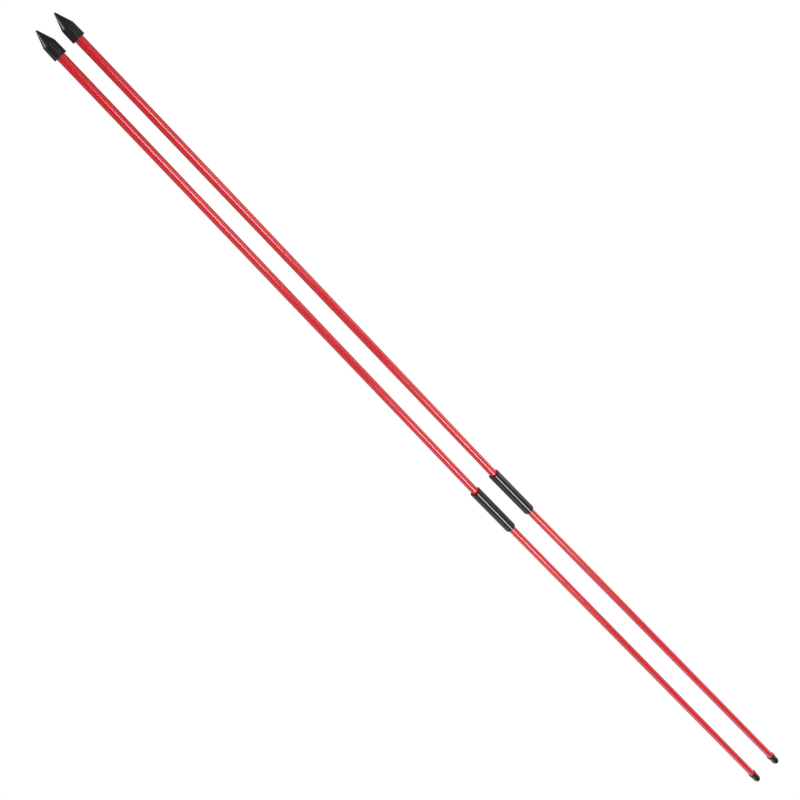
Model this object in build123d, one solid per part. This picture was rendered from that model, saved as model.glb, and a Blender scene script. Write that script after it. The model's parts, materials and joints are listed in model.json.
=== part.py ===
# Two-section golf alignment sticks, a set of two, lying side by side on the ground.
# Each stick is a pair of glass-fibre tubes that push together in a sleeve (ferrule) and are held
# closed by an elastic cord that runs the whole way through them.
# The sleeve is a loose sliding fit, so each stick lies with a slight kink at it.
# Millimetres. +X runs along stick 1's rear section towards its point, +Z is up, the ground is Z = 0.
# The origin is the middle of the set's footprint on the ground.
from build123d import *
import math
import os

# ---------------------------------------------------------------- driving dimensions
stick_length = 1219.0        # 48 in, from the point of the tip to the end of the cap
joint_at = 610.7             # centre of the ferrule, from the point

tube_od = 7.94               # 5/16 in pultruded tube
tube_id = 5.0
tube_edge = 0.3              # deburred edge at each end of a tube

tip_length = 24.5            # moulded point
tip_base_d = 12.0            # widest, at the open end of the skirt
tip_nose_r = 0.8             # blunt nose
tip_half_angle = 22.0        # cone, degrees
tip_cone_length = 12.95      # from the nose to the shoulder
tip_shoulder_r = 1.5         # blend between the cone and the skirt
tip_edge_r = 0.4
tip_bore_r = tube_od / 2 + 0.02
tip_seat = 8.5               # how far the tube goes into the tip
knot_pocket_r = 3.3          # room for the knot beyond the tube's end

ferrule_length = 64.1
ferrule_od = 11.8
ferrule_edge_r = 0.9
ferrule_stop = 3.0           # rib in the middle that both tubes meet
ferrule_stop_r = 2.6         # its hole, which the cord runs through
ferrule_slip_r = 4.2         # the half that the front tube slides out of, a loose fit
ferrule_glue_r = tube_od / 2 + 0.02   # the half that is bonded to the rear tube
ferrule_lead = 0.3           # lead-in chamfer at the rear mouth
ferrule_mouth_edge_r = 0.35  # outer edge of the front mouth, squarer than the rear one
ferrule_mouth_lead = 0.2     # edge break inside the front mouth

cap_length = 18.9            # moulded rubber cap over the blunt end
cap_body_r = 4.53
cap_lip_r = 4.93
cap_lip_length = 2.4
cap_taper = 2.6              # from the lip down to the body
cap_dome = 6.2               # long, half-ellipse end
cap_seat = 7.9               # how far the tube goes into the cap
cap_bore_r = tube_od / 2 + 0.01

cord_d = 2.5                 # elastic shock cord
knot_r = 2.8                 # stopper knot at each end, as its outer barrel
knot_length = 4.7
washer_od = 7.6              # bears on the tube's end face
washer_id = 2.8
washer_t = 0.8

joint_gap = 0.1              # front tube's face to the ferrule's stop
front_lean = 0.733           # degrees that the front section lies off the rear section's line

tip_spacing = 19.46          # centre to centre at the two points
fan_angle = 0.68             # degrees that stick 2 opens away from stick 1 towards the caps

# ---------------------------------------------------------------- helpers
# A stick is drawn along its own axis: s is the distance from the point of the tip, so x = -s.
# Every piece is a solid of revolution: a closed outline of (s, r, corner radius) about that axis.


def outline(points):
    """Closed wire through (s, r, corner) points, each corner rounded by a tangent arc."""
    n = len(points)
    runs = []
    for i in range(n):
        s, r, corner = points[i]
        here = Vector(-s, r)
        if not corner:
            runs.append((here, None, here))
            continue
        before = Vector(-points[i - 1][0], points[i - 1][1])
        after = Vector(-points[(i + 1) % n][0], points[(i + 1) % n][1])
        a = (before - here).normalized()
        b = (after - here).normalized()
        half = math.acos(max(-1.0, min(1.0, a.dot(b)))) / 2
        back = corner / math.tan(half)
        p, q = here + a * back, here + b * back
        centre = here + (a + b).normalized() * (corner / math.sin(half))
        mid = centre + (here - centre).normalized() * corner
        runs.append((p, mid, q))
    edges = []
    for i in range(n):
        p, mid, q = runs[i]
        if mid is not None:
            edges.append(Edge.make_three_point_arc(p, mid, q))
        nxt = runs[(i + 1) % n][0]
        if (nxt - q).length > 1e-6:
            edges.append(Edge.make_line(q, nxt))
    return edges


def turned(edges):
    """Solid made by turning a closed set of edges about the stick's axis."""
    return revolve(make_face(edges), Axis.X, 360)


# ---------------------------------------------------------------- the pieces of one stick
front_end = tip_length - tip_seat                     # tip-side end of the front tube
front_joint = joint_at - ferrule_stop / 2 - joint_gap   # its joint-side end
rear_joint = joint_at + ferrule_stop / 2
rear_end = stick_length - cap_length + cap_seat
lean_at = joint_at - (ferrule_length + ferrule_stop) / 4   # half way along the front tube's hold in the sleeve

# the front section's place, turned sideways about the middle of its hold in the sleeve
lean = (
    Location((-lean_at, 0, 0))
    * Location((0, 0, 0), (0, 0, -front_lean))
    * Location((lean_at, 0, 0))
)


def make_tip():
    """Moulded point: blunt nose, cone, slightly tapered skirt, blind bore with a knot pocket."""
    a = math.radians(tip_half_angle)
    s_t = tip_nose_r * (1 - math.sin(a))
    r_t = tip_nose_r * math.cos(a)
    shoulder = r_t + (tip_cone_length - s_t) * math.tan(a)
    seat_end = front_end - washer_t - 0.05            # the washer sits in the bore too
    pocket_end = seat_end - knot_length - 0.7
    rest = [
        (tip_cone_length, shoulder, tip_shoulder_r),
        (tip_length, tip_base_d / 2, tip_edge_r),
        (tip_length, tip_bore_r + 0.3, 0),
        (tip_length - 0.3, tip_bore_r, 0),
        (seat_end, tip_bore_r, 0),
        (seat_end, knot_pocket_r, 0),
        (pocket_end, knot_pocket_r, 0),
        (pocket_end - 1.7, 0, 0),
    ]
    k = (math.pi / 2 - a) / 2                         # half of the nose's arc
    nose = Edge.make_three_point_arc(
        Vector(0, 0),
        Vector(-(tip_nose_r - tip_nose_r * math.cos(k)), tip_nose_r * math.sin(k)),
        Vector(-s_t, r_t),
    )
    full = outline([(s_t, r_t, 0)] + rest + [(0, 0, 0)])
    # the last straight run of that outline joins the axis to the cone; the nose takes its place
    keep = []
    for e in full:
        p, q = e.position_at(0), e.position_at(1)
        ends = sorted([p.X, q.X])
        if abs(ends[0] + s_t) < 1e-6 and abs(ends[1]) < 1e-6:
            continue
        keep.append(e)
    return turned([nose] + keep)


def make_tube(s0, s1):
    """Pultruded tube with its outer edges eased."""
    r, q, e = tube_od / 2, tube_id / 2, tube_edge
    return turned(
        outline(
            [
                (s0, q + 0.15, 0),
                (s0, r - e, 0),
                (s0 + e, r, 0),
                (s1 - e, r, 0),
                (s1, r - e, 0),
                (s1, q + 0.15, 0),
                (s1 - 0.15, q, 0),
                (s0 + 0.15, q, 0),
            ]
        )
    )


def make_ferrule():
    """Moulded sleeve with a stop rib: a slip bore towards the tip, a bonded bore towards the cap."""
    s0, s1 = joint_at - ferrule_length / 2, joint_at + ferrule_length / 2
    stop0, stop1 = joint_at - ferrule_stop / 2, joint_at + ferrule_stop / 2
    r, c, m = ferrule_od / 2, ferrule_lead, ferrule_mouth_lead
    return turned(
        outline(
            [
                (s0, ferrule_slip_r + m, 0),
                (s0, r, ferrule_mouth_edge_r),
                (s1, r, ferrule_edge_r),
                (s1, ferrule_glue_r + c, 0),
                (s1 - c, ferrule_glue_r, 0),
                (stop1, ferrule_glue_r, 0),
                (stop1, ferrule_stop_r + 0.3, 0),
                (stop1 - 0.3, ferrule_stop_r, 0),
                (stop0 + 0.3, ferrule_stop_r, 0),
                (stop0, ferrule_stop_r + 0.3, 0),
                (stop0, ferrule_slip_r, 0),
                (s0 + m, ferrule_slip_r, 0),
            ]
        )
    )


def make_end_cap():
    """Rubber cap: lip at the mouth, taper to a straight body, long domed end, blind bore with a knot pocket."""
    s0, s1 = stick_length - cap_length, stick_length
    seat_end = rear_end + washer_t + 0.05
    pocket_end = seat_end + knot_length + 0.5
    dome = s1 - cap_dome
    points = [
        (s0, cap_bore_r + 0.25, 0),
        (s0, cap_lip_r, 0.4),
        (s0 + cap_lip_length, cap_lip_r, 0.8),
        (s0 + cap_lip_length + cap_taper, cap_body_r, 0.8),
        (dome, cap_body_r, 0),
        (s1, 0, 0),
        (pocket_end, 0, 0),
        (pocket_end, 3.1, 0.8),
        (seat_end, 3.1, 0),
        (seat_end, cap_bore_r, 0),
        (s0 + 0.25, cap_bore_r, 0),
    ]
    edges = []
    for e in outline(points):
        p, q = e.position_at(0), e.position_at(1)
        if abs(p.X + dome) < 1e-6 and abs(q.X + s1) < 1e-6:
            e = Edge.make_ellipse(
                cap_dome, cap_body_r, plane=Plane(origin=(-dome, 0, 0)), start_angle=90, end_angle=180
            )
        edges.append(e)
    return turned(edges)


def make_cord():
    """Elastic cord from end to end, with a stopper knot outside each washer, bent where the stick is."""
    r = cord_d / 2
    a1 = front_end - washer_t - 0.05                  # front knot's inner face
    a0 = a1 - knot_length
    b0 = rear_end + washer_t + 0.05
    b1 = b0 + knot_length
    front = turned(
        outline(
            [
                (a0, 0, 0),
                (a0, knot_r * 0.72, 0.9),
                (a0 + 1.5, knot_r, 1.2),
                (a1 - 1.2, knot_r, 1.0),
                (a1, knot_r * 0.8, 0.3),
                (a1, r, 0),
                (lean_at + 2, r, 0),
                (lean_at + 2, 0, 0),
            ]
        )
    )
    rear = turned(
        outline(
            [
                (lean_at - 2, 0, 0),
                (lean_at - 2, r, 0),
                (b0, r, 0),
                (b0, knot_r * 0.8, 0.3),
                (b0 + 1.2, knot_r, 1.0),
                (b1 - 1.5, knot_r, 1.2),
                (b1, knot_r * 0.72, 0.9),
                (b1, 0, 0),
            ]
        )
    )
    # both halves are cut square to the bend and joined there
    h = math.radians(front_lean / 2)
    mitre = Plane(origin=(-lean_at, 0, 0), z_dir=(math.cos(h), -math.sin(h), 0))
    front = split(lean * front, bisect_by=mitre, keep=Keep.TOP)
    rear = split(rear, bisect_by=mitre, keep=Keep.BOTTOM)
    return (front + rear).solids()[0]


def make_washer(s0):
    """Steel washer between the knot and the tube's end face."""
    q, r = washer_id / 2, washer_od / 2
    return turned(
        outline([(s0, q, 0), (s0, r, 0.15), (s0 + washer_t, r, 0.15), (s0 + washer_t, q, 0)])
    )


def one_stick():
    return {
        "tip": lean * make_tip(),
        "front_tube": lean * make_tube(front_end, front_joint),
        "ferrule": make_ferrule(),
        "rear_tube": make_tube(rear_joint, rear_end),
        "end_cap": make_end_cap(),
        "shock_cord": make_cord(),
        "front_washer": lean * make_washer(front_end - washer_t - 0.02),
        "rear_washer": make_washer(rear_end),
    }


# ---------------------------------------------------------------- the set of two
def set_of_two(pieces):
    """Each stick's place: resting on its tip's skirt, with the set centred on the origin."""
    axis_z = -pieces["tip"].bounding_box().min.Z
    nose = lean.position

    def places(x, y):
        return {
            "stick1": Location((x, y, axis_z)),
            "stick2": Location((x + nose.X, y + nose.Y - tip_spacing, axis_z))
            * Location((0, 0, 0), (0, 0, fan_angle))
            * Location((-nose.X, -nose.Y, 0)),
        }

    boxes = [(where * solid).bounding_box() for where in places(0.0, 0.0).values() for solid in pieces.values()]
    x = (min(b.min.X for b in boxes) + max(b.max.X for b in boxes)) / 2
    y = (min(b.min.Y for b in boxes) + max(b.max.Y for b in boxes)) / 2
    return places(-x, -y)


if __name__ == "__main__":
    os.makedirs("parts", exist_ok=True)
    for old in os.listdir("parts"):
        if old.endswith(".step"):
            os.remove(os.path.join("parts", old))
    pieces = one_stick()
    for stick, where in set_of_two(pieces).items():
        origin, nose = where.position, (where * lean).position
        print(f"{stick} rear axis from {origin.X:.4f} {origin.Y:.4f} {origin.Z:.4f}, point at {nose.X:.4f} {nose.Y:.4f}")
        for name, solid in pieces.items():
            moved = where * solid
            export_step(moved, f"parts/{stick}_{name}.step")
            b = moved.bounding_box()
            print(
                f"{stick}_{name:14s} volume {moved.volume:9.1f}  x {b.min.X:8.2f} {b.max.X:8.2f}"
                f"  y {b.min.Y:7.2f} {b.max.Y:7.2f}  z {b.min.Z:6.2f} {b.max.Z:6.2f}"
            )
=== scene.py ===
import json
import math

import bmesh
import bpy
import numpy as np
from mathutils import Matrix, Vector


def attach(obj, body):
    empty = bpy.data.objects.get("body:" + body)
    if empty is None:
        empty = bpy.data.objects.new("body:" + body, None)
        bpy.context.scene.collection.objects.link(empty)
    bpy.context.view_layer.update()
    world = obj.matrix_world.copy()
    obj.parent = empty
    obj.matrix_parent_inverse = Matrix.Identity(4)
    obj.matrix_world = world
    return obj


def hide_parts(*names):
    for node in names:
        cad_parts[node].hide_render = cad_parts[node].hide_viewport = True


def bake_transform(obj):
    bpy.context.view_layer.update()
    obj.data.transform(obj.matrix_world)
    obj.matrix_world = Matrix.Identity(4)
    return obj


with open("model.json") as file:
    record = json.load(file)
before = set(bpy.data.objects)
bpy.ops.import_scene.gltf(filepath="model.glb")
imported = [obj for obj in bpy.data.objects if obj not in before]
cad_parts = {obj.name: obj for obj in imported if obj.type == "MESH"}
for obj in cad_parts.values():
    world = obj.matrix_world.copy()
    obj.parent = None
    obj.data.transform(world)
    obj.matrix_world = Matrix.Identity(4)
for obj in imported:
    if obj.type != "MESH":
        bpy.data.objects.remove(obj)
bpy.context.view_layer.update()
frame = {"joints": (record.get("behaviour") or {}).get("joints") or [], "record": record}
scene = bpy.context.scene
scene.view_settings.view_transform = "Standard"
scene.view_settings.look = "None"

MM = 0.001

# ------------------------------------------------------------------ where each stick lies
# A section's own frame: origin at the point of the tip, +X out of the point, +Z up, in metres.
# A place along it is s, the distance in millimetres from the point, so x = -s.
# The front section lies off the rear section's line by a small angle, about LEAN_S.
LEAN_S = 593.925
joint = {j["name"]: j for j in frame["joints"]}
mount = {m["name"]: m for m in frame["record"]["mounts"]}


def section_place(axis, point, s):
    d = Vector(axis).normalized()
    side = Vector((0, 0, 1)).cross(d).normalized()
    m = Matrix.Identity(4)
    for i, col in enumerate((d, side, d.cross(side))):
        m[0][i], m[1][i], m[2][i] = col
    m.translation = Vector(point) + d * s * MM
    return m


FRONT, REAR = {}, {}
for k in ("stick1", "stick2"):
    twist, cap_end = joint[f"{k}_twist"], mount[f"{k}_cap_end"]
    FRONT[k] = section_place(twist["axis"], twist["pos_m"], 300.0)
    REAR[k] = section_place([-c for c in cap_end["axis"]], cap_end["pos_m"], 1208.98)
LEAN = (REAR["stick1"].inverted() @ FRONT["stick1"]).to_euler().z

# ------------------------------------------------------------------ camera
ORIGIN = REAR["stick1"].translation
right = Vector((-0.62431164, -0.71824791, 0.30717245))
down = Vector((-0.64238875, 0.69577964, 0.32129020))
look = Vector((-0.44449035, 0.00326109, -0.89577770))
cam_data = bpy.data.cameras.new("camera")
cam_data.sensor_width = 36.0
cam_data.lens = 953.02 * 36.0 / 800.0
cam_data.clip_start = 0.01
cam = bpy.data.objects.new("camera", cam_data)
scene.collection.objects.link(cam)
m = Matrix.Identity(4)
for i, col in enumerate((right, -down, -look)):
    m[0][i], m[1][i], m[2][i] = col
m.translation = ORIGIN + Vector((-31.41, -13.30, 828.31)) * MM
cam.matrix_world = m
scene.camera = cam

# ------------------------------------------------------------------ mesh helpers


def rounded(points, arc_step=0.12):
    """Closed outline of (s, r, corner) points as (s, r) samples: arcs at the corners, and support points beside them."""
    n = len(points)
    out = []
    runs = []
    for i in range(n):
        here = np.array(points[i][:2], float)
        c = points[i][2]
        if c <= 0:
            runs.append([here])
            continue
        before = np.array(points[i - 1][:2], float)
        after = np.array(points[(i + 1) % n][:2], float)
        a = (before - here) / np.linalg.norm(before - here)
        b = (after - here) / np.linalg.norm(after - here)
        half = math.acos(float(np.clip(a @ b, -1, 1))) / 2
        back = c / math.tan(half)
        p, q = here + a * back, here + b * back
        centre = here + (a + b) / np.linalg.norm(a + b) * (c / math.sin(half))
        v0, v1 = (p - centre) / c, (q - centre) / c
        ang = math.acos(float(np.clip(v0 @ v1, -1, 1)))
        steps = max(3, int(math.ceil(ang * c / arc_step)))
        steps = min(steps, 14)
        arc = []
        for k in range(steps + 1):
            t = k / steps
            w0 = math.sin((1 - t) * ang) / math.sin(ang)
            w1 = math.sin(t * ang) / math.sin(ang)
            arc.append(centre + c * (w0 * v0 + w1 * v1))
        runs.append(arc)
    for i in range(n):
        out.extend(runs[i])
        q, p = runs[i][-1], runs[(i + 1) % n][0]
        gap = float(np.linalg.norm(p - q))
        if gap > 0.5:
            d = (p - q) / gap
            marks = [0.06, gap - 0.06]
            inner = int(gap // 12)
            marks += [gap * (k + 1) / (inner + 1) for k in range(inner)]
            for mk in sorted(marks):
                out.append(q + d * mk)
    keep = []
    for p in out:
        if not keep or np.linalg.norm(p - keep[-1]) > 1e-5:
            keep.append(p)
    if np.linalg.norm(keep[0] - keep[-1]) < 1e-5:
        keep.pop()
    return [(float(p[0]), float(p[1])) for p in keep]


def angles(n=96, seams=()):
    """Angles about the axis, closer together beside each seam."""
    th = [2 * math.pi * i / n for i in range(n)]
    for c in seams:
        c = math.radians(c) % (2 * math.pi)
        near = [c + math.radians(x) for x in (-2.0, -1.3, -0.8, -0.4, 0.0, 0.4, 0.8, 1.3, 2.0)]
        th = [t for t in th if abs((t - c + math.pi) % (2 * math.pi) - math.pi) > math.radians(2.4)]
        th += [t % (2 * math.pi) for t in near]
    return sorted(th)


def finish_mesh(me, sharp=32.0):
    bm = bmesh.new()
    bm.from_mesh(me)
    bmesh.ops.remove_doubles(bm, verts=bm.verts, dist=1e-8)
    bmesh.ops.recalc_face_normals(bm, faces=bm.faces)
    bm.to_mesh(me)
    bm.free()
    for p in me.polygons:
        p.use_smooth = True
    me.set_sharp_from_angle(angle=math.radians(sharp))
    me.update()


def lathe(name, prof, th, offset=None, sharp=32.0):
    """A closed (s, r) outline in mm turned about the axis. offset(s, r, theta) adds to the radius."""
    verts, faces, uv_of = [], [], []
    rings = []
    n = len(th)
    run = 0.0
    for i, (s, r) in enumerate(prof):
        if i:
            run += math.hypot(s - prof[i - 1][0], r - prof[i - 1][1])
        if r < 1e-6:
            rings.append([len(verts)])
            verts.append((-s * MM, 0.0, 0.0))
            uv_of.append((0.5, run * MM))
            continue
        ids = []
        for t in th:
            rr = r + (offset(s, r, t) if offset else 0.0)
            ids.append(len(verts))
            verts.append((-s * MM, rr * math.sin(t) * MM, rr * math.cos(t) * MM))
            uv_of.append((t / (2 * math.pi), run * MM))
        rings.append(ids)
    count = len(rings)
    for i in range(count):
        a, b = rings[i], rings[(i + 1) % count]
        if len(a) == 1 and len(b) == 1:
            continue
        for k in range(n):
            k2 = (k + 1) % n
            if len(a) == 1:
                faces.append((a[0], b[k], b[k2]))
            elif len(b) == 1:
                faces.append((a[k], b[0], a[k2]))
            else:
                faces.append((a[k], b[k], b[k2], a[k2]))
    me = bpy.data.meshes.new(name)
    me.from_pydata(verts, [], faces)
    me.update()
    finish_mesh(me, sharp)
    return me


def add_piece(k, node, me, mat, body, place):
    ob = bpy.data.objects.new(f"{k}_{node}_look", me)
    scene.collection.objects.link(ob)
    me.materials.clear()
    for mt in (mat if isinstance(mat, (list, tuple)) else [mat]):
        me.materials.append(mt)
    ob.matrix_world = place
    bpy.context.view_layer.update()
    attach(ob, body)
    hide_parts(f"{k}_{node}")
    return ob


# ------------------------------------------------------------------ material helpers


class Nodes:
    def __init__(self, name):
        self.mat = bpy.data.materials.new(name)
        self.mat.use_nodes = True
        self.nt = self.mat.node_tree
        self.bsdf = self.nt.nodes["Principled BSDF"]

    def node(self, kind, **props):
        nd = self.nt.nodes.new(kind)
        for key, value in props.items():
            setattr(nd, key, value)
        return nd

    def link(self, a, b):
        self.nt.links.new(a, b)

    def coords(self, scale, kind="Object"):
        tc = self.node("ShaderNodeTexCoord")
        mp = self.node("ShaderNodeMapping")
        mp.inputs["Scale"].default_value = scale
        self.link(tc.outputs[kind], mp.inputs["Vector"])
        return mp.outputs["Vector"]

    def noise(self, vec, scale, detail=2.0, rough=0.5, distortion=0.0):
        nd = self.node("ShaderNodeTexNoise")
        nd.inputs["Scale"].default_value = scale
        nd.inputs["Detail"].default_value = detail
        nd.inputs["Roughness"].default_value = rough
        nd.inputs["Distortion"].default_value = distortion
        self.link(vec, nd.inputs["Vector"])
        return nd.outputs["Fac"]

    def ramp(self, fac, stops, interpolation="LINEAR"):
        nd = self.node("ShaderNodeValToRGB")
        nd.color_ramp.interpolation = interpolation
        el = nd.color_ramp.elements
        while len(el) > 1:
            el.remove(el[-1])
        for i, (pos, col) in enumerate(stops):
            e = el[0] if i == 0 else el.new(pos)
            e.position = pos
            e.color = (*col, 1.0) if len(col) == 3 else col
        self.link(fac, nd.inputs["Fac"])
        return nd.outputs["Color"]

    def remap(self, fac, lo, hi, a=0.0, b=1.0):
        nd = self.node("ShaderNodeMapRange")
        nd.inputs["From Min"].default_value = a
        nd.inputs["From Max"].default_value = b
        nd.inputs["To Min"].default_value = lo
        nd.inputs["To Max"].default_value = hi
        self.link(fac, nd.inputs["Value"])
        return nd.outputs["Result"]

    def math(self, op, a, b=None, clamp=False):
        nd = self.node("ShaderNodeMath", operation=op, use_clamp=clamp)
        for i, v in enumerate((a, b)):
            if v is None:
                continue
            if isinstance(v, (int, float)):
                nd.inputs[i].default_value = v
            else:
                self.link(v, nd.inputs[i])
        return nd.outputs["Value"]

    def mix(self, fac, a, b, blend="MIX"):
        nd = self.node("ShaderNodeMix", data_type="RGBA", blend_type=blend)
        for key, v in ((0, fac), (6, a), (7, b)):
            if isinstance(v, (int, float)):
                nd.inputs[key].default_value = v
            elif isinstance(v, tuple):
                nd.inputs[key].default_value = (*v, 1.0)
            else:
                self.link(v, nd.inputs[key])
        return nd.outputs[2]

    def bump(self, height, strength, distance, normal=None):
        nd = self.node("ShaderNodeBump")
        nd.inputs["Strength"].default_value = strength
        nd.inputs["Distance"].default_value = distance
        self.link(height, nd.inputs["Height"])
        if normal is not None:
            self.link(normal, nd.inputs["Normal"])
        return nd.outputs["Normal"]

    def set(self, **sockets):
        for key, v in sockets.items():
            s = self.bsdf.inputs[key.replace("_", " ")]
            if isinstance(v, (int, float)):
                s.default_value = v
            elif isinstance(v, tuple):
                s.default_value = (*v, 1.0) if len(v) == 3 and s.type == "RGBA" else v
            else:
                self.link(v, s)


def rod_material():
    """Pultruded glass fibre: red through the resin, fine fibre streaks along the length, glossy skin."""
    n = Nodes("rod_red")
    streak = n.noise(n.coords((9, 1500, 1500)), 1.0, 3.0, 0.6)
    cloud = n.noise(n.coords((14, 60, 60)), 1.0, 2.0, 0.5)
    col = n.ramp(streak, [(0.25, (0.55, 0.0082, 0.0165)), (0.55, (0.62, 0.0098, 0.0185)), (0.8, (0.677, 0.0143, 0.0235))])
    tone = n.ramp(cloud, [(0.3, (0.93, 0.9, 0.9)), (0.7, (1.0, 1.0, 1.0))])
    n.set(Base_Color=n.mix(1.0, col, tone, "MULTIPLY"))
    grain = n.noise(n.coords((25, 3200, 3200)), 1.0, 2.0, 0.55)
    n.set(Roughness=n.remap(n.noise(n.coords((30, 500, 500)), 1.0, 3.0), 0.15, 0.20, 0.3, 0.7))
    n.set(Normal=n.bump(grain, 0.05, 0.00005))
    n.set(Specular_IOR_Level=0.7)
    return n.mat


def rod_end_material():
    """Sawn end of the tube: paler resin with the cut ends of the glass rovings."""
    n = Nodes("rod_cut_end")
    cell = n.node("ShaderNodeTexVoronoi")
    cell.inputs["Scale"].default_value = 1.0
    n.link(n.coords((400, 5200, 5200)), cell.inputs["Vector"])
    col = n.ramp(cell.outputs["Distance"], [(0.0, (0.72, 0.30, 0.27)), (0.35, (0.50, 0.06, 0.06)), (0.8, (0.30, 0.012, 0.016))])
    n.set(Base_Color=col, Roughness=0.62)
    n.set(Normal=n.bump(cell.outputs["Distance"], 0.35, 0.00008))
    return n.mat


def plastic_material(name, dark, light, rough, grain_scale, grain, spec=0.5, scratch=0.0):
    """Moulded plastic: fine spark-eroded grain, faint flow marks along the moulding, uneven gloss."""
    n = Nodes(name)
    flow = n.noise(n.coords((45, 170, 170)), 1.0, 3.0, 0.55, 0.6)
    n.set(Base_Color=n.ramp(flow, [(0.3, dark), (0.7, light)]))
    gl = n.noise(n.coords((260, 260, 260)), 1.0, 4.0, 0.6)
    n.set(Roughness=n.remap(gl, rough[0], rough[1], 0.3, 0.7))
    g = n.noise(n.coords((grain_scale, grain_scale, grain_scale)), 1.0, 2.0, 0.6)
    nrm = n.bump(g, grain, 0.00004)
    if scratch:
        sc = n.noise(n.coords((35, 2600, 2600)), 1.0, 1.0, 0.5)
        nrm = n.bump(n.ramp(sc, [(0.56, (0, 0, 0)), (0.62, (1, 1, 1))]), scratch, 0.00002, nrm)
    n.set(Normal=nrm, Specular_IOR_Level=spec)
    return n.mat


def cord_material():
    """Braided polyester sheath: light yarns with a dark tracer pair, each yarn a bundle of filaments."""
    n = Nodes("cord_braid")
    uv = n.node("ShaderNodeUVMap", uv_map="braid")
    sep = n.node("ShaderNodeSeparateXYZ")
    n.link(uv.outputs["UV"], sep.inputs["Vector"])
    u, v = sep.outputs["X"], sep.outputs["Y"]
    turn = n.math("MULTIPLY", v, 1000.0 / 11.0)
    a = n.math("ADD", u, turn)
    b = n.math("SUBTRACT", u, turn)
    ya = n.math("MULTIPLY", a, 8.0)
    yb = n.math("MULTIPLY", b, 8.0)
    ia = n.math("FLOOR", n.math("WRAP", n.math("MULTIPLY", a, 8.0), 8.0))
    over = n.math("GREATER_THAN", n.math("MULTIPLY", n.math("SINE", n.math("MULTIPLY", ya, math.pi)), n.math("SINE", n.math("MULTIPLY", yb, math.pi))), 0.0)
    fila = n.math("SINE", n.math("MULTIPLY", ya, 2 * math.pi * 5))
    filb = n.math("SINE", n.math("MULTIPLY", yb, 2 * math.pi * 5))
    fil = n.math("ADD", n.math("MULTIPLY", over, fila), n.math("MULTIPLY", n.math("SUBTRACT", 1.0, over), filb))
    tracer = n.math("MULTIPLY", n.math("LESS_THAN", ia, 1.5), over)
    shade = n.remap(fil, 0.86, 1.0, -1.0, 1.0)
    light = n.mix(n.remap(n.noise(n.coords((600, 600, 600)), 1.0, 2.0), 0.0, 1.0, 0.3, 0.7), (0.60, 0.60, 0.57), (0.74, 0.74, 0.71))
    col = n.mix(tracer, light, (0.02, 0.02, 0.022))
    comb = n.node("ShaderNodeCombineColor")
    for c in ("Red", "Green", "Blue"):
        n.link(shade, comb.inputs[c])
    n.set(Base_Color=n.mix(1.0, col, comb.outputs["Color"], "MULTIPLY"), Roughness=0.72)
    n.set(Normal=n.bump(fil, 0.25, 0.00003))
    return n.mat


def steel_material():
    """Stamped, zinc-plated steel: fine turned scratches round the axis."""
    n = Nodes("washer_steel")
    tc = n.node("ShaderNodeTexCoord")
    sep = n.node("ShaderNodeSeparateXYZ")
    n.link(tc.outputs["Object"], sep.inputs["Vector"])
    r2 = n.math("ADD", n.math("MULTIPLY", sep.outputs["Y"], sep.outputs["Y"]), n.math("MULTIPLY", sep.outputs["Z"], sep.outputs["Z"]))
    r = n.math("SQRT", r2)
    comb = n.node("ShaderNodeCombineXYZ")
    n.link(n.math("MULTIPLY", r, 9000.0), comb.inputs["X"])
    n.link(n.math("MULTIPLY", sep.outputs["X"], 9000.0), comb.inputs["Y"])
    ring = n.noise(comb.outputs["Vector"], 1.0, 2.0, 0.6)
    n.set(Base_Color=n.ramp(ring, [(0.3, (0.50, 0.50, 0.50)), (0.7, (0.66, 0.66, 0.65))]), Metallic=1.0)
    n.set(Roughness=n.remap(ring, 0.26, 0.42, 0.3, 0.7), Normal=n.bump(ring, 0.2, 0.00003))
    return n.mat


M_ROD = rod_material()
M_END = rod_end_material()
M_TIP = plastic_material("tip_plastic", (0.0105, 0.0105, 0.0135), (0.0135, 0.0138, 0.0172), (0.24, 0.32), 3800, 0.08, 0.32)
M_FERRULE = plastic_material("ferrule_plastic", (0.0125, 0.0096, 0.0132), (0.0158, 0.0124, 0.0168), (0.10, 0.15), 2400, 0.03, 0.42, 0.06)
M_CAP = plastic_material("cap_rubber", (0.0026, 0.0026, 0.0030), (0.0042, 0.0042, 0.0047), (0.12, 0.18), 3000, 0.06, 0.34)
M_CORD = cord_material()
M_STEEL = steel_material()

# ------------------------------------------------------------------ the pieces' outlines, as in the CAD model
L = 1219.0
TUBE_R, TUBE_Q, TUBE_EDGE = 3.97, 2.5, 0.3
MID = 610.7
FRONT0, FRONT1 = 16.0, MID - 1.6
REAR0, REAR1 = MID + 1.5, 1208.0
SEAMS = (90.0, 270.0)


def seam(height):
    """A faint mould parting line down each side of a moulding's outer skin."""
    def off(s, r, t):
        h = 0.0
        for c in SEAMS:
            d = math.degrees((t - math.radians(c) + math.pi) % (2 * math.pi) - math.pi)
            h += math.exp(-((d / 0.7) ** 2))
        return h * height
    return off


def outer_only(off, inner_r):
    return lambda s, r, t: off(s, r, t) if r > inner_r(s) else 0.0


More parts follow.
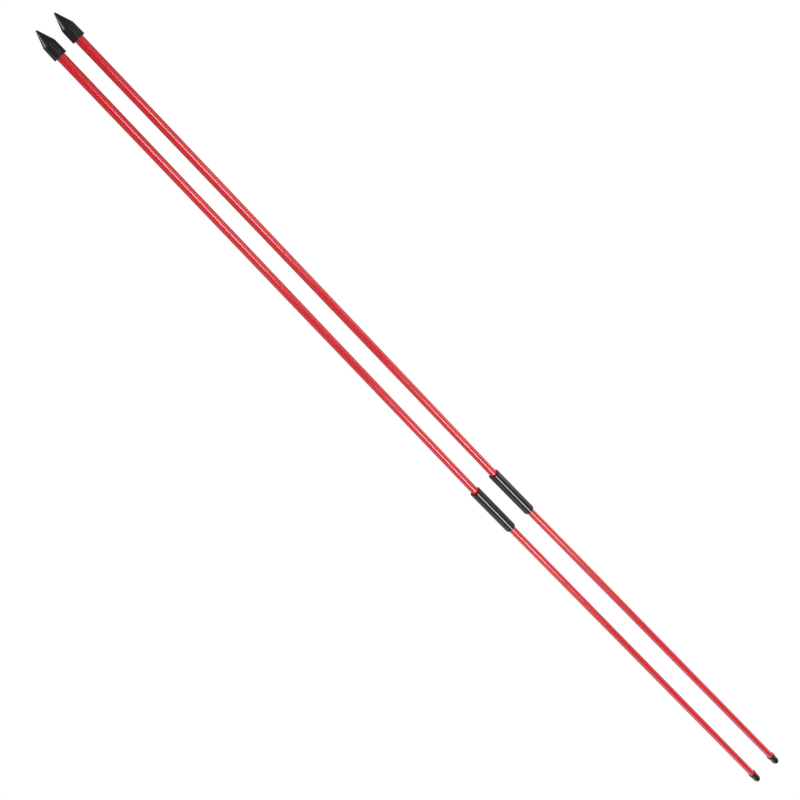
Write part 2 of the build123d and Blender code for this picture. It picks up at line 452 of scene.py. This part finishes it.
def tip_mesh():
    R, a = 0.8, math.radians(22.0)
    s_t, r_t = R * (1 - math.sin(a)), R * math.cos(a)
    shoulder = r_t + (12.95 - s_t) * math.tan(a)
    nose = []
    for i in range(11):
        ph = (math.pi / 2 - a) * i / 10
        nose.append((R - R * math.cos(ph), R * math.sin(ph), 0))
    pts = nose + [
        (12.95, shoulder, 1.5),
        (24.5, 6.0, 0.4),
        (24.5, 4.29, 0),
        (24.2, 3.99, 0),
        (15.15, 3.99, 0),
        (15.15, 3.3, 0),
        (9.75, 3.3, 0),
        (8.05, 0, 0),
    ]
    off = outer_only(seam(0.03), lambda s: 0.5 if s < 6 else (s * 0.36 if s < 12 else 4.6))
    return lathe("tip", rounded(pts), angles(112, SEAMS), off)


def tube_mesh(name, s0, s1, worn_from=None):
    r, q, e = TUBE_R, TUBE_Q, TUBE_EDGE
    pts = [
        (s0, q + 0.15, 0),
        (s0, r - e, 0.1),
        (s0 + e, r, 0.25),
        (s1 - e, r, 0.25),
        (s1, r - e, 0.1),
        (s1, q + 0.15, 0),
        (s1 - 0.15, q, 0),
        (s0 + 0.15, q, 0),
    ]
    return lathe(name, rounded(pts), angles(96))


def ferrule_mesh():
    s0, s1 = MID - 32.05, MID + 32.05
    pts = [
        (s0, 4.2 + 0.2, 0),
        (s0, 5.9, 0.35),
        (s1, 5.9, 0.9),
        (s1, 3.99 + 0.3, 0.1),
        (s1 - 0.3, 3.99, 0),
        (MID + 1.5, 3.99, 0),
        (MID + 1.5, 2.9, 0),
        (MID + 1.2, 2.6, 0),
        (MID - 1.2, 2.6, 0),
        (MID - 1.5, 2.9, 0),
        (MID - 1.5, 4.2, 0),
        (s0 + 0.2, 4.2, 0),
    ]
    return lathe("ferrule", rounded(pts), angles(112, SEAMS), outer_only(seam(0.025), lambda s: 5.4))


def cap_mesh():
    s0, s1 = 1200.1, 1219.0
    a, r0 = 6.2, 4.53
    dome = []
    for i in range(1, 25):
        ph = (math.pi / 2) * i / 24
        s, r = s1 - a + a * math.sin(ph), r0 * math.cos(ph)
        if r < 0.7:
            continue
        dome.append((s, r, 0))
    gate = [(s1 - 0.055, 0.58, 0), (s1 - 0.22, 0.48, 0), (s1 - 0.25, 0.2, 0), (s1 - 0.12, 0.1, 0), (s1 - 0.11, 0, 0)]
    pts = [
        (s0, 3.98 + 0.25, 0.08),
        (s0, 4.93, 0.4),
        (s0 + 2.4, 4.93, 0.8),
        (s0 + 5.0, r0, 0.8),
        (s1 - a, r0, 0),
    ] + dome + gate + [
        (1214.05, 0, 0),
        (1214.05, 3.1, 0.8),
        (1208.85, 3.1, 0),
        (1208.85, 3.98, 0),
        (s0 + 0.25, 3.98, 0),
    ]

    def skin(s):
        return 4.25 if s < 1212.8 else 3.4 if s < 1215.5 else 0.8
    return lathe("end_cap", rounded(pts), angles(112, SEAMS), outer_only(seam(0.03), skin))


def washer_mesh(s0):
    pts = [(s0, 1.4, 0.1), (s0, 3.8, 0.22), (s0 + 0.8, 3.8, 0.1), (s0 + 0.8, 1.4, 0.2)]
    return lathe("washer", rounded(pts, 0.06), angles(72))


def bspline(ctrl, per=14):
    """Points along a clamped uniform cubic B-spline."""
    c = np.array(ctrl, float)
    c = np.vstack([c[0], c[0], c, c[-1], c[-1]])
    out = []
    for i in range(len(c) - 3):
        for k in range(per):
            t = k / per
            w = np.array([(1 - t) ** 3, 3 * t ** 3 - 6 * t ** 2 + 4, -3 * t ** 3 + 3 * t ** 2 + 3 * t + 1, t ** 3]) / 6
            out.append(w @ c[i:i + 4])
    out.append(c[-1])
    return np.array(out)


def knot_path(s_face, toward):
    """Stopper knot: the cord runs up the axis, doubles back and winds round itself. toward is -1 at the tip, +1 at the cap."""
    w = 1.86
    pts = [(s_face + toward * t, 0.0, 0.0) for t in (0.0, 0.7, 1.4, 2.1, 2.8, 3.3)]
    pts += [(s_face + toward * 3.75, 0.25, 0.1), (s_face + toward * 3.95, 0.95, 0.45), (s_face + toward * 3.78, 1.6, 0.95)]
    turns, n = 1.55, 22
    for i in range(n + 1):
        f = i / n
        a = math.radians(38) + 2 * math.pi * turns * f
        t = 3.55 - 2.55 * f
        pts.append((s_face + toward * t, w * math.cos(a), w * math.sin(a)))
    return pts


def bent(p):
    """A place (s, y, z) in mm as a point in the rear section's frame, turned with the front section where s is on it."""
    x, y = -p[0], p[1]
    if p[0] < LEAN_S:
        c, n = math.cos(LEAN), math.sin(LEAN)
        x, y = x + LEAN_S, y
        x, y = -LEAN_S + c * x - n * y, n * x + c * y
    return (x * MM, y * MM, p[2] * MM)


def cord_mesh(k):
    """Cord with its two knots as one swept tube. The stretch that shows when the stick is pulled apart carries the braid's relief."""
    r_run, r_knot = 1.25, 0.93
    front = bspline(knot_path(15.15, -1))[::-1]
    rear = bspline(knot_path(1208.85, 1))
    run = []
    s = front[-1][0]
    s_end = rear[0][0]
    marks = [s + 0.6, s + 1.4, s + 2.5] + list(np.arange(s + 8, 556, 8.0)) + list(np.arange(556, 668, 0.16)) + list(np.arange(668, s_end - 6, 8.0)) + [s_end - 2.5, s_end - 1.4, s_end - 0.6]
    for v in marks:
        run.append((v, 0.0, 0.0))
    path = np.vstack([front, np.array(run), rear])
    n_front, n_run = len(front), len(run)
    count = len(path)
    tang = np.gradient(path, axis=0)
    tang /= np.linalg.norm(tang, axis=1)[:, None]
    # parallel-transported frame
    up = np.zeros_like(path)
    ref = np.array([0.0, 0.0, 1.0])
    u0 = ref - tang[0] * (ref @ tang[0])
    up[0] = u0 / np.linalg.norm(u0)
    for i in range(1, count):
        v = up[i - 1] - tang[i] * (up[i - 1] @ tang[i])
        up[i] = v / np.linalg.norm(v)
    side = np.cross(tang, up)
    n = 64
    th = np.array([2 * math.pi * i / n for i in range(n)])
    length = np.concatenate([[0], np.cumsum(np.linalg.norm(np.diff(path, axis=0), axis=1))])
    verts, uvs = [], []
    for i in range(count):
        if i < n_front:
            d = n_front - 1 - i
            rad = r_knot
        elif i < n_front + n_run:
            rad = r_run
        else:
            rad = r_knot
        sx = path[i][0]
        if n_front <= i < n_front + n_run:
            e = min(sx - 15.15, 1208.85 - sx)
            f = min(1.0, max(0.0, e / 2.5))
            f = f * f * (3 - 2 * f)
            rad = r_knot + (r_run - r_knot) * f
        h = np.zeros(n)
        if 556 <= sx <= 668 and n_front <= i < n_front + n_run:
            fade = min(1.0, (sx - 556) / 6, (668 - sx) / 6)
            pa = 8 * (th / (2 * math.pi) + sx / 11.0)
            pb = 8 * (th / (2 * math.pi) - sx / 11.0)
            over = np.sin(math.pi * pa) * np.sin(math.pi * pb)
            wa = 1 / (1 + np.exp(-over * 5))
            ha = np.sqrt(np.abs(np.sin(math.pi * pa)))
            hb = np.sqrt(np.abs(np.sin(math.pi * pb)))
            h = -0.13 * fade * (1 - (wa * ha + (1 - wa) * hb))
        if i == 0 or i == count - 1:
            rad *= 0.72
        for q in range(n):
            p = path[i] + (rad + h[q]) * (math.cos(th[q]) * up[i] + math.sin(th[q]) * side[i])
            verts.append(bent(p))
            uvs.append((th[q] / (2 * math.pi), length[i] * MM))
    faces = []
    for i in range(count - 1):
        for q in range(n):
            q2 = (q + 1) % n
            faces.append((i * n + q, (i + 1) * n + q, (i + 1) * n + q2, i * n + q2))
    for end, ring in ((0, 0), (1, (count - 1) * n)):
        c = path[0] if end == 0 else path[-1]
        t = -tang[0] if end == 0 else tang[-1]
        p = c + t * 0.25
        verts.append(bent(p))
        uvs.append((0.5, (length[0] if end == 0 else length[-1]) * MM))
        for q in range(n):
            faces.append((ring + q, ring + (q + 1) % n, len(verts) - 1))
    me = bpy.data.meshes.new(f"{k}_cord")
    me.from_pydata(verts, [], faces)
    uv = me.uv_layers.new(name="braid")
    data = np.zeros((len(me.loops), 2))
    vi = np.zeros(len(me.loops), int)
    me.loops.foreach_get("vertex_index", vi)
    data = np.array(uvs)[vi]
    start = 0
    for p in me.polygons:
        ids = list(p.loop_indices)
        us = data[ids, 0]
        if us.max() - us.min() > 0.5:
            us[us < 0.5] += 1.0
            data[ids, 0] = us
    uv.data.foreach_set("uv", data.astype(np.float32).ravel())
    bm = bmesh.new()
    bm.from_mesh(me)
    bmesh.ops.recalc_face_normals(bm, faces=bm.faces)
    bm.to_mesh(me)
    bm.free()
    for p in me.polygons:
        p.use_smooth = True
    me.set_sharp_from_angle(angle=math.radians(60))
    me.update()
    return me


# ------------------------------------------------------------------ the two sticks


def cut_ends(me, s0, s1):
    """Give a tube's sawn end faces and bore their own material slot."""
    for p in me.polygons:
        cx = -p.center.x / MM
        r = math.hypot(p.center.y, p.center.z) / MM
        if r < TUBE_R - TUBE_EDGE + 0.02 and (abs(cx - s0) < 0.2 or abs(cx - s1) < 0.2 or r < TUBE_Q + 0.1):
            p.material_index = 1


for k in ("stick1", "stick2"):
    add_piece(k, "tip", tip_mesh(), M_TIP, f"{k}_front", FRONT[k])
    me = tube_mesh("front_tube", FRONT0, FRONT1)
    cut_ends(me, FRONT0, FRONT1)
    add_piece(k, "front_tube", me, [M_ROD, M_END], f"{k}_front", FRONT[k])
    me.validate()
    me = tube_mesh("rear_tube", REAR0, REAR1)
    cut_ends(me, REAR0, REAR1)
    add_piece(k, "rear_tube", me, [M_ROD, M_END], f"{k}_rear", REAR[k])
    add_piece(k, "ferrule", ferrule_mesh(), M_FERRULE, f"{k}_rear", REAR[k])
    add_piece(k, "end_cap", cap_mesh(), M_CAP, f"{k}_rear", REAR[k])
    add_piece(k, "front_washer", washer_mesh(15.18), M_STEEL, f"{k}_cord_end", FRONT[k])
    add_piece(k, "rear_washer", washer_mesh(1208.0), M_STEEL, f"{k}_rear", REAR[k])

    cord = bpy.data.objects.new(f"{k}_shock_cord_look", cord_mesh(k))
    scene.collection.objects.link(cord)
    cord.data.materials.append(M_CORD)
    cord.matrix_world = REAR[k]
    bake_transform(cord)
    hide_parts(f"{k}_shock_cord")

# ------------------------------------------------------------------ floor and light
floor_me = bpy.data.meshes.new("floor")
S = 6.0
floor_me.from_pydata([(-S, -S, 0), (S, -S, 0), (S, S, 0), (-S, S, 0)], [], [(0, 1, 2, 3)])
floor = bpy.data.objects.new("floor", floor_me)
scene.collection.objects.link(floor)
floor.location.z = -0.0002
fm = bpy.data.materials.new("floor")
fm.use_nodes = True
fb = fm.node_tree.nodes["Principled BSDF"]
fb.inputs["Base Color"].default_value = (0.06, 0.06, 0.06, 1)
fb.inputs["Roughness"].default_value = 0.9
fb.inputs["Specular IOR Level"].default_value = 0.0
fb.inputs["Emission Color"].default_value = (1, 1, 1, 1)
# the camera sees the floor glow pure white; the sticks see a dimmer glow, painted shade that is dimmest beside the
# points
fn, fl = fm.node_tree.nodes, fm.node_tree.links
place = fn.new("ShaderNodeTexCoord")
split = fn.new("ShaderNodeSeparateXYZ")
fl.new(place.outputs["Object"], split.inputs["Vector"])
dimmed = fn.new("ShaderNodeFloatCurve")
for i, (pos, val) in enumerate(((0.0, 0.6), (0.25, 0.6), (0.55, 0.75), (0.78, 0.27), (1.0, 0.27))):
    pts = dimmed.mapping.curves[0].points
    pt = pts[0] if i == 0 else pts[-1] if i == 4 else pts.new(pos, val)
    pt.location = (pos, val)
    pt.handle_type = "VECTOR"
dimmed.mapping.update()
reach = fn.new("ShaderNodeMapRange")
reach.inputs["From Min"].default_value = -1.0
fl.new(split.outputs["X"], reach.inputs["Value"])
fl.new(reach.outputs["Result"], dimmed.inputs["Value"])
eye = fn.new("ShaderNodeLightPath")
glow = fn.new("ShaderNodeMix")
glow.data_type = "FLOAT"
fl.new(eye.outputs["Is Camera Ray"], glow.inputs[0])
fl.new(dimmed.outputs["Value"], glow.inputs[2])
glow.inputs[3].default_value = 0.95
# painted reflection: a patch of floor beyond the points glows with an extra 4.5 of emission for glossy rays only, a
# painted highlight on the cones' lower flanks
glint_patch = None
for axis, low, high in (("X", 0.600, 0.615), ("Y", 0.035, 0.060)):
    step = fn.new("ShaderNodeMapRange")
    step.inputs["From Min"].default_value = low
    step.inputs["From Max"].default_value = high
    fl.new(split.outputs[axis], step.inputs["Value"])
    if glint_patch is None:
        glint_patch = step.outputs["Result"]
        continue
    both = fn.new("ShaderNodeMath")
    both.operation = "MULTIPLY"
    fl.new(glint_patch, both.inputs[0])
    fl.new(step.outputs["Result"], both.inputs[1])
    glint_patch = both.outputs["Value"]
# glossy rays alone see this extra glow: the painted highlight on the cones
glint_glow = fn.new("ShaderNodeMath")
glint_glow.operation = "MULTIPLY"
fl.new(glint_patch, glint_glow.inputs[0])
fl.new(eye.outputs["Is Glossy Ray"], glint_glow.inputs[1])
lit = fn.new("ShaderNodeMath")
lit.operation = "MULTIPLY_ADD"
fl.new(glint_glow.outputs["Value"], lit.inputs[0])
lit.inputs[1].default_value = 4.5
fl.new(glow.outputs[0], lit.inputs[2])
fl.new(lit.outputs["Value"], fb.inputs["Emission Strength"])
floor_me.materials.append(fm)


def panel(name, centre, aim, size_x, size_y, radiance, roll_to=(1, 0, 0), color=(1, 1, 1)):
    """A soft box: a rectangle of even radiance that faces aim, with its size_x side along roll_to."""
    ld = bpy.data.lights.new(name, "AREA")
    ld.shape = "RECTANGLE"
    ld.size, ld.size_y = size_x, size_y
    ld.energy = radiance * math.pi * size_x * size_y
    ld.color = color
    ob = bpy.data.objects.new(name, ld)
    scene.collection.objects.link(ob)
    z = (Vector(centre) - Vector(aim)).normalized()
    x = Vector(roll_to)
    x = (x - z * x.dot(z)).normalized()
    y = z.cross(x)
    mt = Matrix.Identity(4)
    for i, col in enumerate((x, y, z)):
        mt[0][i], mt[1][i], mt[2][i] = col
    mt.translation = Vector(centre)
    ob.matrix_world = mt
    ob.visible_camera = False
    return ob


mid_y = (FRONT["stick1"].translation.y + FRONT["stick2"].translation.y) / 2
# two overhead soft boxes, in line with the sticks
panel("top_front", (0.228, mid_y - 0.31, 1.206), (0.228, mid_y - 0.31, 0), 0.466, 0.62, 8.2, roll_to=(1, -0.15, 0))
panel("top_rear", (-1.191, mid_y - 0.05, 1.756), (-1.191, mid_y - 0.05, 0), 0.887, 0.54, 16.2)
# low card beside the points
tip_at = Vector((0.60, mid_y, 0.006))
card = tip_at + Vector((0.57, 0.82, 0)).normalized() * 1.1
panel("tip_card", (card.x, card.y, 0.11), (tip_at.x, tip_at.y, 0.04), 0.36, 0.22, 18.0, roll_to=(-0.82, 0.57, 0))
# white cards beside the points and beyond the caps
panel("tip_side", (0.669, mid_y - 1.2, 0.16), (0.669, mid_y, 0.02), 0.162, 0.32, 0.5)
panel("front_card", (1.45, mid_y, 0.80), (0.55, mid_y, 0), 1.9, 1.1, 0.28, roll_to=(0, 1, 0))
panel("side_near", (0.50, mid_y - 1.3, 0.85), (0.50, mid_y, 0), 0.7, 0.9, 0.45)
panel("side_low", (-0.30, mid_y - 1.3, 0.30), (-0.30, mid_y, 0), 1.2, 0.6, 1.25)
panel("end_card", (-1.75, 1.15, 0.62), (-0.4, 0.0, 0.0), 1.5, 0.8, 0.8, roll_to=(0.65, 0.76, 0))
# diffuse fill from beyond the points
fill = panel("fill", (1.25, mid_y + 0.3, 1.2), (0.3, mid_y, 0), 0.8, 0.8, 0.85, roll_to=(0, 1, 0))
fill.visible_glossy = False

# studio surroundings: pale near the horizon and beyond the caps, dark overhead and beyond the points
world = bpy.data.worlds.new("studio")
scene.world = world
world.use_nodes = True
wt = world.node_tree
bg = wt.nodes["Background"]
tc = wt.nodes.new("ShaderNodeTexCoord")
sep = wt.nodes.new("ShaderNodeSeparateXYZ")
wt.links.new(tc.outputs["Generated"], sep.inputs["Vector"])


def grey_ramp(stops, socket):
    nd = wt.nodes.new("ShaderNodeValToRGB")
    el = nd.color_ramp.elements
    while len(el) < len(stops):
        el.new(0.5)
    for e, (pos, val) in zip(el, stops):
        e.position, e.color = pos, (val, val, val, 1)
    wt.links.new(socket, nd.inputs["Fac"])
    return nd.outputs["Color"]


def unit_range(socket):
    nd = wt.nodes.new("ShaderNodeMapRange")
    nd.inputs["From Min"].default_value = -1.0
    wt.links.new(socket, nd.inputs["Value"])
    return nd.outputs["Result"]


def times(a, b):
    nd = wt.nodes.new("ShaderNodeMix")
    nd.data_type = "RGBA"
    nd.blend_type = "MULTIPLY"
    nd.inputs[0].default_value = 1.0
    wt.links.new(a, nd.inputs[6])
    wt.links.new(b, nd.inputs[7])
    return nd.outputs[2]


height = grey_ramp([(0.0, 1.0), (0.25, 0.72), (0.45, 0.5), (0.65, 0.4), (0.8, 0.35), (1.0, 0.3)], sep.outputs["Z"])
ahead = grey_ramp([(0.15, 0.85), (0.25, 0.96), (0.375, 0.96), (0.4265, 0.8), (0.465, 0.62), (0.5, 0.42), (0.65, 0.22)], unit_range(sep.outputs["X"]))
across = grey_ramp([(0.2, 1.0), (0.27, 0.72), (0.34, 0.45), (0.4, 0.3), (0.51, 0.3), (0.58, 0.5), (0.65, 0.75), (0.78, 1.0)], unit_range(sep.outputs["Y"]))
room = times(times(height, ahead), across)
lp = wt.nodes.new("ShaderNodeLightPath")
wm = wt.nodes.new("ShaderNodeMix")
wm.data_type = "RGBA"
wt.links.new(lp.outputs["Is Camera Ray"], wm.inputs[0])
wt.links.new(room, wm.inputs[6])
wm.inputs[7].default_value = (1, 1, 1, 1)
wt.links.new(wm.outputs[2], bg.inputs["Color"])
bg.inputs["Strength"].default_value = 1.25
